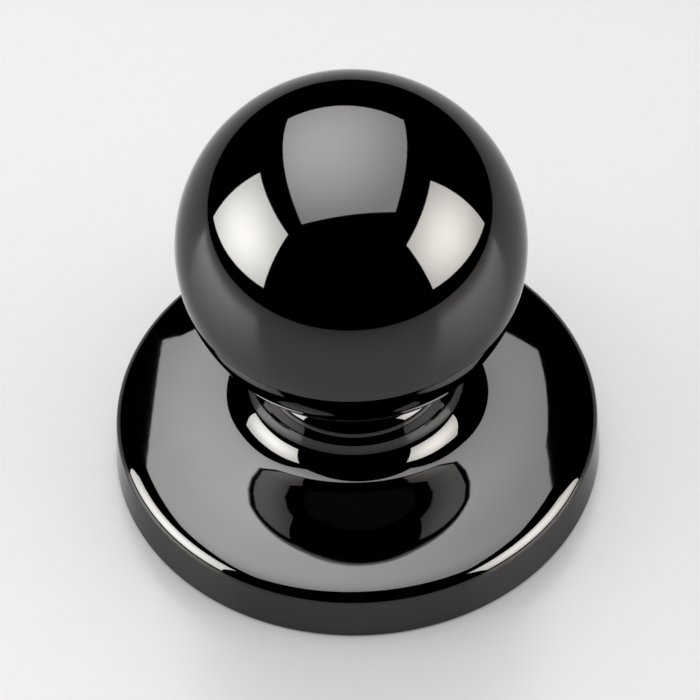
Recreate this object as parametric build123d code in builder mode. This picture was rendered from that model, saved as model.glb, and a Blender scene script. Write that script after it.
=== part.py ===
from build123d import *
from math import hypot, radians, sqrt, tan
import os

os.makedirs("parts", exist_ok=True)

# Ball knob for a door or drawer front: a ball on a short collared neck that flares into a round domed foot.
# One casting. Millimetres, +Z along the axis, origin in the middle of the seat.

projection = 35.0  # from the seat to the top of the ball
ball_diameter = 25.0
foot_diameter = 35.0
neck_diameter = 13.8  # at the top of the flare

# Heights of the outline's corners, as shares of the height of the collar's corner
side_share = 0.41
dome_break_share = 0.514
dome_top_share = 0.6145
flare_share = 0.675
neck_share = 0.878

# Foot: a nearly upright side, a rounded outer slope and a straight inner one
foot_edge_radius = 0.25  # around the seat
side_lean = 0.18  # how far the side leans in over its height
shoulder_radius = 1.3
outer_slope_width = 3.15
dome_radius = 31.0  # between the two slopes

# Neck: a flare that starts gently off the dome and tightens, then a slight taper up to the collar
dome_top_offset = 2.43  # from the neck out to where the flare starts
flare_start_radius = 5.5
flare_offset = 0.75  # from the neck out to the flare's own corner
flare_radius = 2.8
taper_radius = 1.5  # where the flare turns into the taper

# Collar: the neck's rounded top edge, its sloping upper side and the narrow groove between that and the ball
collar_lean = 0.17  # how far its corner stands in from the top of the flare
collar_radius = 1.3
collar_slope = 34.0  # degrees, of the upper side
groove_depth = 1.15  # from the collar's corner in to the groove's floor
groove_width = 0.68  # up the groove's floor, from the collar to the ball
groove_radius = 0.2  # in the corner between the collar and the floor
groove_tuck = 0.6  # how far up inside the ball the floor ends
crease_radius = 0.15  # in the corner between the floor and the ball

# Underside: a ring cored out around the screw boss
rim_width = 2.8
web = 1.1  # from the recess up to the height of the side
recess_corner_radius = 0.8
core_draft = 4.0  # degrees on the recess's walls
boss_diameter = 11.0
boss_step = 0.3  # the boss stops short of the seat, so that the rim seats first

# Tapped hole for an M4 machine screw, at its tapping size
tap_drill_diameter = 3.3
tapped_depth = 11.0  # from the boss's face
drill_point_angle = 118.0
mouth_diameter = 4.3  # of the 90 degree countersink

ball_radius = ball_diameter / 2
ball_centre_height = projection - ball_radius

collar_corner = neck_diameter / 2 - collar_lean
groove_floor = collar_corner - groove_depth
groove_end_height = ball_centre_height - sqrt(ball_radius**2 - groove_floor**2)
collar_end_height = groove_end_height - groove_width
collar_height = collar_end_height - groove_depth * tan(radians(collar_slope))

foot_radius = foot_diameter / 2
side_height = collar_height * side_share
shoulder = foot_radius - side_lean


def fitted(wanted, corners):
    """The wanted radii, made smaller where two arcs would overrun the wall between their corners."""
    walls = [Vector(*b) - Vector(*a) for a, b in zip(corners, corners[1:])]
    reach = [r * tan(radians(a.get_angle(b)) / 2) for r, a, b in zip(wanted, walls, walls[1:])]
    used = [(a + b) / wall.length for a, b, wall in zip([0] + reach, reach + [0], walls)]
    return [r / max(1, 1.01 * a, 1.01 * b) for r, a, b in zip(wanted, used, used[1:])]


with BuildPart() as knob:
    # Foot, neck and collar in half section; the groove's floor ends inside the ball
    floor_end_height = groove_end_height + groove_tuck
    outline = [
        (0, 0),
        (foot_radius, 0),
        (shoulder, side_height),
        (shoulder - outer_slope_width, collar_height * dome_break_share),
        (neck_diameter / 2 + dome_top_offset, collar_height * dome_top_share),
        (neck_diameter / 2 + flare_offset, collar_height * flare_share),
        (neck_diameter / 2, collar_height * neck_share),
        (collar_corner, collar_height),
        (groove_floor, collar_end_height),
        (groove_floor, floor_end_height),
    ]
    outline_radii = [
        foot_edge_radius,
        shoulder_radius,
        dome_radius,
        flare_start_radius,
        flare_radius,
        taper_radius,
        collar_radius,
        groove_radius,
    ]
    with BuildSketch(Plane.XZ) as section:
        with BuildLine():
            FilletPolyline(*outline, radius=fitted(outline_radii, outline))
            Polyline((groove_floor, floor_end_height), (0, floor_end_height), (0, 0))
        make_face()

        # Ball
        with BuildLine():
            ball = CenterArc((0, ball_centre_height), ball_radius, -90, 180)
            Line(ball @ 1, ball @ 0)
        make_face()

        # Crease, at the lowest corner that lies on the ball
        on_ball = section.vertices().filter_by(
            lambda v: abs(hypot(v.X, v.Y - ball_centre_height) - ball_radius) < 0.001
        )
        fillet(on_ball.sort_by(Axis.Y)[0], radius=crease_radius)
    revolve(axis=Axis.Z)

    # Recess in the underside
    recess_depth = side_height - web
    wall_run = recess_depth * tan(radians(core_draft))
    recess_inner = boss_diameter / 2
    recess_outer = foot_radius - rim_width
    recess = [
        (recess_inner, 0),
        (recess_inner + wall_run, recess_depth),
        (recess_outer - wall_run, recess_depth),
        (recess_outer, 0),
    ]
    with BuildSketch(Plane.XZ):
        with BuildLine():
            FilletPolyline(*recess, radius=fitted([recess_corner_radius] * 2, recess))
            Line((recess_outer, 0), (recess_inner, 0))
        make_face()
    revolve(axis=Axis.Z, mode=Mode.SUBTRACT)

    # The boss's face, just inside the seat
    with BuildSketch(Plane.XY):
        Circle(recess_inner + boss_step)
    extrude(amount=boss_step, mode=Mode.SUBTRACT)

    # Tapped hole, its countersunk mouth and its drill point
    drill_radius = tap_drill_diameter / 2
    mouth_radius = mouth_diameter / 2
    wall_start = boss_step + mouth_radius - drill_radius
    hole_end = boss_step + tapped_depth
    drill_point = drill_radius / tan(radians(drill_point_angle / 2))
    with BuildSketch(Plane.XZ):
        with BuildLine():
            Polyline(
                (0, boss_step),
                (mouth_radius, boss_step),
                (drill_radius, wall_start),
                (drill_radius, hole_end),
                (0, hole_end + drill_point),
                (0, boss_step),
            )
        make_face()
    revolve(axis=Axis.Z, mode=Mode.SUBTRACT)

knob.part.label = "knob"
export_step(knob.part, "parts/knob.step")
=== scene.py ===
from math import ceil, cos, hypot, pi, radians, sin, sqrt, tan

import bmesh
import bpy
from mathutils import Matrix, Quaternion, Vector


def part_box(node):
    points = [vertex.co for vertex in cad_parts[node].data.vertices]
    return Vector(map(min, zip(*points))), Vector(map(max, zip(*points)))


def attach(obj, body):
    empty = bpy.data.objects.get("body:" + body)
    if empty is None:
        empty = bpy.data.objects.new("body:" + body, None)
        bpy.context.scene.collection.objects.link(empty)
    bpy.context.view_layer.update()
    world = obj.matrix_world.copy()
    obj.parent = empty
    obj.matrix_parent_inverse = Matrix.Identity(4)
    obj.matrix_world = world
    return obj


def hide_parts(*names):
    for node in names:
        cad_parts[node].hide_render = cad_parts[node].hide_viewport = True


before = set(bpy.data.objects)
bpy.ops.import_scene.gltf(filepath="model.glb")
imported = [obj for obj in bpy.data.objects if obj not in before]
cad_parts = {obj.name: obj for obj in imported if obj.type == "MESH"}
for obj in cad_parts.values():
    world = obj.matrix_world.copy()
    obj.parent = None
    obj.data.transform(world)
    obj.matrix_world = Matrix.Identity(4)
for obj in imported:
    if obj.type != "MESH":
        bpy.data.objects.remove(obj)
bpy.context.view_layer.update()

# The casting: ball, collar, neck and foot in one piece of zinc, cored out underneath round the screw boss.
# It is polished all over the outside and plated in black nickel. The CAD solid's form is turned here again,
# finely enough for a mirror finish, and lies within 0.1 mm of the solid.
MM = 0.001
seat_level, top_level = (corner.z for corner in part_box("knob"))
ball_radius = 12.5 * MM
ball_centre = Vector((0, top_level - ball_radius))

neck_radius = 6.9 * MM
collar_lean = 0.17 * MM
collar_radius = neck_radius - collar_lean
collar_slope = radians(34)
groove_depth = 1.15 * MM
groove_width = 0.68 * MM
groove_floor = collar_radius - groove_depth
collar_end_level = ball_centre.y - sqrt(ball_radius**2 - groove_floor**2) - groove_width
collar_level = collar_end_level - groove_depth * tan(collar_slope)
neck_rounding = 1.5 * MM
collar_rounding = 1.3 * MM
groove_rounding = 0.2 * MM
crease_rounding = 0.15 * MM

foot_radius = 17.5 * MM
seat_rounding = 0.25 * MM
side_level = 0.41 * collar_level
side_lean = 0.146 * MM
side_tilt = 87.5  # degrees
shoulder_level = 0.3365 * collar_level
shoulder_start = Vector((foot_radius - side_lean, shoulder_level))
inner_slope_length = 1.06 * MM

rim_width = 2.8 * MM
web = 1.1 * MM
recess_depth = side_level - web
recess_outer = foot_radius - rim_width
recess_inner = 5.5 * MM
recess_draft = recess_depth * tan(radians(4))
recess_rounding = 0.8 * MM
boss_level = 0.3 * MM

thread_inner_radius = 1.65 * MM
thread_outer_radius = 2.0 * MM
mouth_radius = 2.15 * MM
tapped_depth = 11.0 * MM
drill_half_angle = radians(59)
hole_end_level = boss_level + tapped_depth
drill_tip_level = hole_end_level + thread_inner_radius / tan(drill_half_angle)


def rounding(before, corner, after, radius):
    """Start, centre and end of the arc that rounds a corner of the outline."""
    back = (before - corner).normalized()
    on = (after - corner).normalized()
    half = back.angle(on) / 2
    centre = corner + (back + on).normalized() * (radius / sin(half))
    return corner + back * (radius / tan(half)), centre, corner + on * (radius / tan(half))


def line_to(mesh, pen, point):
    """Draws on to the point, with a ring close to each end so that the shading stays true along the line."""
    start = Vector((pen.co.x, pen.co.z))
    for share in (0.03, 0.97, 1.0):
        place = start.lerp(point, share)
        vertex = mesh.verts.new((place.x, 0, place.y))
        mesh.edges.new((pen, vertex))
        pen = vertex
    return pen


def arc_to(mesh, pen, centre, end, finest=radians(3)):
    """Carries the pen round the centre to the end of the arc."""
    turn = (Vector((pen.co.x, pen.co.z)) - centre).angle_signed(end - centre)
    steps = max(2, ceil(abs(turn) / finest))
    spun = bmesh.ops.spin(
        mesh, geom=[pen], cent=(centre.x, 0, centre.y), axis=(0, 1, 0), angle=turn, steps=steps
    )
    return next(part for part in spun["geom_last"] if isinstance(part, bmesh.types.BMVert))


def bend(mesh, pen, before, after, radius):
    """Carries the pen on from one tilt of the surface to the next, hollow where the radius is negative."""
    centre = Vector((pen.co.x, pen.co.z)) - radius * Vector((sin(before), cos(before)))
    end = centre + radius * Vector((sin(after), cos(after)))
    wide = abs(radius) > 5 * MM
    return arc_to(mesh, pen, centre, end, finest=radians(0.45 if wide else 1.2))


def through_bends(mesh, pen, tilt, bends):
    """Carries the pen through the bends, each a radius in millimetres and the tilt in degrees at its end."""
    for radius, next_tilt in bends:
        pen = bend(mesh, pen, radians(tilt), radians(next_tilt), radius * MM)
        tilt = next_tilt
    return pen, tilt


def round_corners(mesh, pen, corners, radii):
    """Draws along the corners, all but the first and last of them rounded."""
    for before, corner, after, radius in zip(corners, corners[1:], corners[2:], radii):
        start, centre, end = rounding(before, corner, after, radius)
        pen = line_to(mesh, pen, start)
        pen = arc_to(mesh, pen, centre, end)
    return pen


# Outline from the drill's point in the hole, out over the boss and the recess to the seat
turned = bmesh.new()
pen = turned.verts.new((0, 0, drill_tip_level))
pen = line_to(turned, pen, Vector((thread_outer_radius, hole_end_level)))
pen = line_to(turned, pen, Vector((thread_outer_radius, boss_level + mouth_radius - thread_outer_radius)))
pen = line_to(turned, pen, Vector((mouth_radius, boss_level)))
pen = line_to(turned, pen, Vector((recess_inner + recess_draft * boss_level / recess_depth, boss_level)))
recess = [
    Vector((recess_inner, seat_level)),
    Vector((recess_inner + recess_draft, recess_depth)),
    Vector((recess_outer - recess_draft, recess_depth)),
    Vector((recess_outer, seat_level)),
]
pen = round_corners(turned, pen, recess, [recess_rounding] * 2)
pen = line_to(turned, pen, recess[-1])

# Up the foot's side
side = [recess[-1], Vector((foot_radius, seat_level)), shoulder_start]
pen = round_corners(turned, pen, side, [seat_rounding])
pen = line_to(turned, pen, shoulder_start)

# Over the shoulder and in along the dome, which flattens to its inner slope and then hollows into the flare.
# The polished casting has no firm edges there.
shoulder_and_dome = [(0.81, 54), (1.35, 28), (2.6, 20.5), (6.8, 16.45), (77, 15.1), (31.5, 13.1), (36, 11.7)]
pen, tilt = through_bends(turned, pen, side_tilt, shoulder_and_dome)
inward = Vector((-cos(radians(tilt)), sin(radians(tilt))))
pen = line_to(turned, pen, Vector((pen.co.x, pen.co.z)) + inner_slope_length * inward)
flare = [(-54, 12.5), (-27, 14.5), (-7.9, 19), (-3.9, 31), (-2.64, 55), (-3.6, 72.5)]
pen, tilt = through_bends(turned, pen, tilt, flare)

# Up the neck and over the collar into the groove
flare_end = Vector((pen.co.x, pen.co.z))
neck_level = flare_end.y + (flare_end.x - neck_radius) * tan(radians(tilt))
neck = [
    flare_end,
    Vector((neck_radius, neck_level)),
    Vector((collar_radius, collar_level)),
    Vector((groove_floor, collar_end_level)),
    Vector((groove_floor, ball_centre.y)),
]
pen = round_corners(turned, pen, neck, [neck_rounding, collar_rounding, groove_rounding])

# Up the groove's floor into the crease, whose arc touches the floor and the ball
crease_across = groove_floor + crease_rounding
crease_reach = ball_radius + crease_rounding
crease_centre = Vector((crease_across, ball_centre.y - sqrt(crease_reach**2 - crease_across**2)))
pen = line_to(turned, pen, Vector((groove_floor, crease_centre.y)))
crease_end = ball_centre.lerp(crease_centre, ball_radius / crease_reach)
pen = arc_to(turned, pen, crease_centre, crease_end, finest=radians(8))
pen = arc_to(turned, pen, ball_centre, Vector((0, top_level)), finest=radians(1.8))

# The outline turned all the way round
bmesh.ops.spin(
    turned,
    geom=turned.verts[:] + turned.edges[:],
    cent=(0, 0, 0),
    axis=(0, 0, 1),
    angle=2 * pi,
    steps=240,
    use_merge=True,
)
bmesh.ops.remove_doubles(turned, verts=turned.verts[:], dist=0.0001 * MM)
bmesh.ops.recalc_face_normals(turned, faces=turned.faces[:])

# The underside and the hole stay as cast
POLISHED, AS_CAST = 0, 1
over_recess = 1.01 * recess_depth
for face in turned.faces:
    middle = face.calc_center_median()
    radius = hypot(middle.x, middle.y)
    in_recess = radius < foot_radius - seat_rounding and middle.z < over_recess
    in_hole = radius < mouth_radius and middle.z < drill_tip_level
    face.material_index = AS_CAST if in_recess or in_hole else POLISHED


def finished_piece(name, mesh, materials):
    """An object of the mesh, smooth but for its corners."""
    data = bpy.data.meshes.new(name)
    mesh.to_mesh(data)
    mesh.free()
    for material in materials:
        data.materials.append(material)
    data.shade_smooth()
    data.set_sharp_from_angle(angle=radians(30))
    piece = bpy.data.objects.new(name, data)
    bpy.context.scene.collection.objects.link(piece)
    return piece


def new_group(name, inputs, outputs):
    """An empty node group with named values in and out."""
    group = bpy.data.node_groups.new(name, "ShaderNodeTree")
    for label, kind, value in inputs:
        socket = group.interface.new_socket(label, in_out="INPUT", socket_type=kind)
        socket.default_value = value
    for label, kind in outputs:
        group.interface.new_socket(label, in_out="OUTPUT", socket_type=kind)
    return group, group.nodes.new("NodeGroupInput"), group.nodes.new("NodeGroupOutput")


def plated_surface_group():
    """Uneven plating: cloudy shade, cloudy gloss, and a height for the skin's ripple and grain."""
    group, values, out = new_group(
        "plated_surface",
        [
            ("Color", "NodeSocketColor", (0.1, 0.1, 0.1, 1)),
            ("Shade Spread", "NodeSocketFloat", 0.05),
            ("Roughness", "NodeSocketFloat", 0.05),
            ("Roughness Spread", "NodeSocketFloat", 0.02),
            ("Grain Scale", "NodeSocketFloat", 400.0),
        ],
        [("Color", "NodeSocketColor"), ("Roughness", "NodeSocketFloat"), ("Height", "NodeSocketFloat")],
    )
    nodes, links = group.nodes, group.links
    place = nodes.new("ShaderNodeTexCoord")

    clouds = nodes.new("ShaderNodeTexNoise")
    clouds.inputs["Scale"].default_value = 140.0
    clouds.inputs["Detail"].default_value = 3.0
    links.new(place.outputs["Object"], clouds.inputs["Vector"])

    spread = nodes.new("ShaderNodeMath")
    spread.operation = "SUBTRACT"
    spread.inputs[0].default_value = 1.0
    links.new(values.outputs["Shade Spread"], spread.inputs[1])
    shade = nodes.new("ShaderNodeMapRange")
    links.new(clouds.outputs["Fac"], shade.inputs["Value"])
    shade.inputs["From Min"].default_value = 0.3
    shade.inputs["From Max"].default_value = 0.7
    links.new(spread.outputs["Value"], shade.inputs["To Min"])
    shade.inputs["To Max"].default_value = 1.0
    tint = nodes.new("ShaderNodeMix")
    tint.data_type = "RGBA"
    tint.blend_type = "MULTIPLY"
    tint.inputs["Factor"].default_value = 1.0
    links.new(values.outputs["Color"], tint.inputs["A"])
    links.new(shade.outputs["Result"], tint.inputs["B"])
    links.new(tint.outputs["Result"], out.inputs["Color"])

    haze = nodes.new("ShaderNodeTexNoise")
    haze.inputs["Scale"].default_value = 300.0
    haze.inputs["Detail"].default_value = 4.0
    links.new(place.outputs["Object"], haze.inputs["Vector"])
    rough = nodes.new("ShaderNodeMath")
    rough.operation = "MULTIPLY_ADD"
    links.new(haze.outputs["Fac"], rough.inputs[0])
    links.new(values.outputs["Roughness Spread"], rough.inputs[1])
    links.new(values.outputs["Roughness"], rough.inputs[2])
    links.new(rough.outputs["Value"], out.inputs["Roughness"])

    grain = nodes.new("ShaderNodeTexNoise")
    grain.inputs["Detail"].default_value = 2.0
    links.new(values.outputs["Grain Scale"], grain.inputs["Scale"])
    links.new(place.outputs["Object"], grain.inputs["Vector"])
    links.new(grain.outputs["Fac"], out.inputs["Height"])
    return group


plated_surface = plated_surface_group()


def plated_metal(name, color, shade_spread, roughness, roughness_spread, grain_scale, grain_height):
    """A metal whose shade, gloss and skin come from the plated surface."""
    material = bpy.data.materials.new(name)
    material.use_nodes = True
    nodes, links = material.node_tree.nodes, material.node_tree.links
    shader = nodes["Principled BSDF"]
    shader.inputs["Metallic"].default_value = 1.0
    shader.inputs["Specular Tint"].default_value = (0.75, 0.75, 0.75, 1)
    surface = nodes.new("ShaderNodeGroup")
    surface.node_tree = plated_surface
    surface.inputs["Color"].default_value = (*color, 1)
    surface.inputs["Shade Spread"].default_value = shade_spread
    surface.inputs["Roughness"].default_value = roughness
    surface.inputs["Roughness Spread"].default_value = roughness_spread
    surface.inputs["Grain Scale"].default_value = grain_scale
    bump = nodes.new("ShaderNodeBump")
    bump.inputs["Distance"].default_value = grain_height
    links.new(surface.outputs["Height"], bump.inputs["Height"])
    links.new(surface.outputs["Color"], shader.inputs["Base Color"])
    links.new(surface.outputs["Roughness"], shader.inputs["Roughness"])
    links.new(bump.outputs["Normal"], shader.inputs["Normal"])
    return material


polished_nickel = plated_metal(
    "polished_black_nickel",
    (0.064, 0.0632, 0.0618),
    shade_spread=0.06,
    roughness=0.02,
    roughness_spread=0.03,
    grain_scale=900.0,
    grain_height=0.0007 * MM,
)
cast_nickel = plated_metal(
    "black_nickel_as_cast",
    (0.15, 0.148, 0.145),
    shade_spread=0.2,
    roughness=0.3,
    roughness_spread=0.2,
    grain_scale=4000.0,
    grain_height=0.02 * MM,
)

knob = finished_piece("polished_knob", turned, [polished_nickel, cast_nickel])
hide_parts("knob")
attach(knob, "root")

# The thread: a 0.7 mm pitch ridge wound up the tapped hole, from its countersunk mouth to its blind end.
# It is cut in the casting after plating, so it is bare zinc.
thread_pitch = 0.7 * MM
thread_start_level = boss_level + mouth_radius - thread_inner_radius
turns = 14
steps_per_turn = 32
ridge_root = 0.43 * thread_pitch  # half its height along the hole
ridge_crest = 0.12 * thread_pitch
sunk_radius = thread_outer_radius + 0.02 * MM  # the root is let into the hole's wall
thread = bmesh.new()
section = [
    thread.verts.new((radius, 0, thread_start_level + ridge_root + rise))
    for radius, rise in (
        (sunk_radius, -ridge_root),
        (thread_inner_radius, -ridge_crest),
        (thread_inner_radius, ridge_crest),
        (sunk_radius, ridge_root),
    )
]
start_face = thread.faces.new(section)
bmesh.ops.spin(
    thread,
    geom=[start_face, *start_face.edges, *start_face.verts],
    cent=(0, 0, 0),
    axis=(0, 0, 1),
    dvec=(0, 0, thread_pitch / steps_per_turn),
    angle=2 * pi * turns,
    steps=turns * steps_per_turn,
)
bmesh.ops.recalc_face_normals(thread, faces=thread.faces[:])
bare_zinc = plated_metal(
    "bare_zinc",
    (0.5, 0.5, 0.49),
    shade_spread=0.15,
    roughness=0.25,
    roughness_spread=0.2,
    grain_scale=3000.0,
    grain_height=0.005 * MM,
)
screw_thread = finished_piece("screw_thread", thread, [bare_zinc])
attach(screw_thread, "root")

# The table: a broad board of pale satin acrylic that the knob stands on.
# Its sheen mirrors the softboxes, and the metal shows them again there, as in the photograph.
table_radius = 1.5
board = bmesh.new()
bmesh.ops.create_circle(board, cap_ends=True, radius=table_radius, segments=128)
bmesh.ops.translate(board, verts=board.verts[:], vec=(0, 0, seat_level))
satin_acrylic = bpy.data.materials.new("satin_acrylic")
satin_acrylic.use_nodes = True
nodes, links = satin_acrylic.node_tree.nodes, satin_acrylic.node_tree.links
nodes["Principled BSDF"].inputs["Roughness"].default_value = 0.25
nodes["Principled BSDF"].inputs["IOR"].default_value = 1.4
board_grain = nodes.new("ShaderNodeTexNoise")
board_grain.inputs["Scale"].default_value = 900.0
board_color = nodes.new("ShaderNodeMix")
board_color.data_type = "RGBA"
board_color.inputs["A"].default_value = (0.83, 0.83, 0.83, 1)
board_color.inputs["B"].default_value = (0.85, 0.85, 0.85, 1)
board_place = nodes.new("ShaderNodeTexCoord")
links.new(board_place.outputs["Object"], board_grain.inputs["Vector"])
links.new(board_grain.outputs["Fac"], board_color.inputs["Factor"])
links.new(board_color.outputs["Result"], nodes["Principled BSDF"].inputs["Base Color"])
table = finished_piece("table", board, [satin_acrylic])

# The room: pale all round, with a tent of black cloth close about the table, which the metal shows.
# The cloth is only there for reflections, and the pale room gives the plain, even light.
black_cloth = bpy.data.materials.new("black_cloth")
black_cloth.use_nodes = True
dull = black_cloth.node_tree.nodes["Principled BSDF"].inputs
dull["Base Color"].default_value = (0.002, 0.002, 0.002, 1)
dull["Roughness"].default_value = 1.0
dull["Specular IOR Level"].default_value = 0.0
tent_height = 0.8
cloth = bmesh.new()
bmesh.ops.create_cone(
    cloth,
    cap_ends=True,
    segments=96,
    radius1=0.225,
    radius2=0.8,
    depth=tent_height,
    matrix=Matrix.Translation((0, 0, tent_height / 2)),
)
ground = [face for face in cloth.faces if face.calc_center_median().z < 1 * MM]
bmesh.ops.delete(cloth, geom=ground, context="FACES")
tent = finished_piece("tent", cloth, [black_cloth])
tent.visible_camera = False
tent.visible_diffuse = False
tent.visible_shadow = False

pale_room = bpy.data.worlds.new("pale_room")
pale_room.use_nodes = True
pale_room.node_tree.nodes["Background"].inputs["Color"].default_value = (0.56, 0.56, 0.56, 1)
bpy.context.scene.world = pale_room


# The lamps: three softboxes close round the knob, one overhead and one low at each side.
# The face of each is what the metal shows, and the lamp in it lights the table at a plain level.
def softbox(name, place, across, up, corners, color, brightness, hot_spot, plain_level):
    """A softbox, with half its width and height as vectors.

    The corners go round its cloth, as shares of those two.
    The cloth is brightest at the hot spot and half as bright well away from it.
    """
    glow = bpy.data.materials.new(name + "_glow")
    glow.use_nodes = True
    nodes, links = glow.node_tree.nodes, glow.node_tree.links
    nodes.remove(nodes["Principled BSDF"])
    face_place = nodes.new("ShaderNodeTexCoord")
    from_spot = nodes.new("ShaderNodeVectorMath")
    from_spot.operation = "DISTANCE"
    from_spot.inputs[1].default_value = (*hot_spot, 0)
    links.new(face_place.outputs["UV"], from_spot.inputs[0])
    fall = nodes.new("ShaderNodeMapRange")
    fall.interpolation_type = "SMOOTHSTEP"
    fall.inputs["From Max"].default_value = 0.75
    fall.inputs["To Min"].default_value = brightness
    fall.inputs["To Max"].default_value = 0.5 * brightness
    links.new(from_spot.outputs["Value"], fall.inputs["Value"])
    emission = nodes.new("ShaderNodeEmission")
    emission.inputs["Color"].default_value = (*color, 1)
    links.new(fall.outputs["Result"], emission.inputs["Strength"])
    links.new(emission.outputs["Emission"], nodes["Material Output"].inputs["Surface"])
    glow.cycles.emission_sampling = "NONE"

    place, across, up = Vector(place), Vector(across), Vector(up)
    out = across.cross(up).normalized()
    cloth = bmesh.new()
    flat = cloth.loops.layers.uv.new("cloth")
    sheet = cloth.faces.new([cloth.verts.new(place + u * across + v * up) for u, v in corners])
    for loop, (u, v) in zip(sheet.loops, corners):
        loop[flat].uv = ((u + 1) / 2, (v + 1) / 2)
    face = finished_piece(name, cloth, [glow])
    face.visible_camera = False
    face.visible_diffuse = False
    face.visible_shadow = False

    lamp = bpy.data.lights.new(name + "_lamp", "AREA")
    lamp.shape = "RECTANGLE"
    lamp.size = 2 * across.length
    lamp.size_y = 2 * up.length
    lamp.energy = plain_level * pi * lamp.size * lamp.size_y
    lamp.color = color
    holder = bpy.data.objects.new(name + "_lamp", lamp)
    side = across.normalized()
    holder.matrix_world = Matrix.Translation(place) @ Matrix((side, out.cross(side), out)).transposed().to_4x4()
    holder.visible_glossy = False
    holder.visible_camera = False
    bpy.context.scene.collection.objects.link(holder)


softbox(
    "softbox_overhead",
    place=(-0.0007, 0.0482, 0.1688),
    across=(0.1083, 0.0018, 0.0073),
    up=(0.0021, 0.1238, -0.0511),
    corners=((-1.124, -1.072), (1.072, -0.934), (0.804, 0.928), (-0.818, 1.049)),
    color=(1, 1, 1),
    brightness=6.0,
    hot_spot=(0.35, 0.62),
    plain_level=0.5,
)
softbox(
    "softbox_left",
    place=(-0.1911, -0.0155, 0.1004),
    across=(0.0129, -0.0983, 0.0143),
    up=(0.0227, 0.0136, 0.0685),
    corners=((-1.053, -0.963), (1.068, -1.037), (0.932, 1.01), (-0.947, 0.988)),
    color=(1, 0.988, 0.964),
    brightness=15.8,
    hot_spot=(0.5, 0.4),
    plain_level=1.27,
)
softbox(
    "softbox_right",
    place=(0.1848, -0.0496, 0.1041),
    across=(0.0226, 0.0942, -0.0034),
    up=(-0.0251, 0.0081, 0.0711),
    corners=((-1.055, -0.902), (1.064, -1.1), (0.936, 1.086), (-0.944, 0.916)),
    color=(1, 0.965, 0.93),
    brightness=13.6,
    hot_spot=(0.5, 0.5),
    plain_level=1.09,
)

# The camera: a long lens, looking down on the knob from in front, and a little out of level.
camera_elevation = radians(50.33)
camera_roll = radians(-1.91)
camera_distance = 0.7
camera_aim = Vector((-0.00033, 0.00023, 0.01069))
back = Vector((0, -cos(camera_elevation), sin(camera_elevation)))
lens = bpy.data.cameras.new("camera")
lens.sensor_width = 36.0
lens.lens = 502.8
lens.clip_start = 0.01
camera = bpy.data.objects.new("camera", lens)
camera.rotation_mode = "QUATERNION"
camera.rotation_quaternion = (-back).to_track_quat("-Z", "Y") @ Quaternion((0, 0, 1), camera_roll)
camera.location = camera_aim + back * camera_distance
bpy.context.scene.collection.objects.link(camera)
bpy.context.scene.camera = camera
bpy.context.scene.view_settings.view_transform = "Standard"
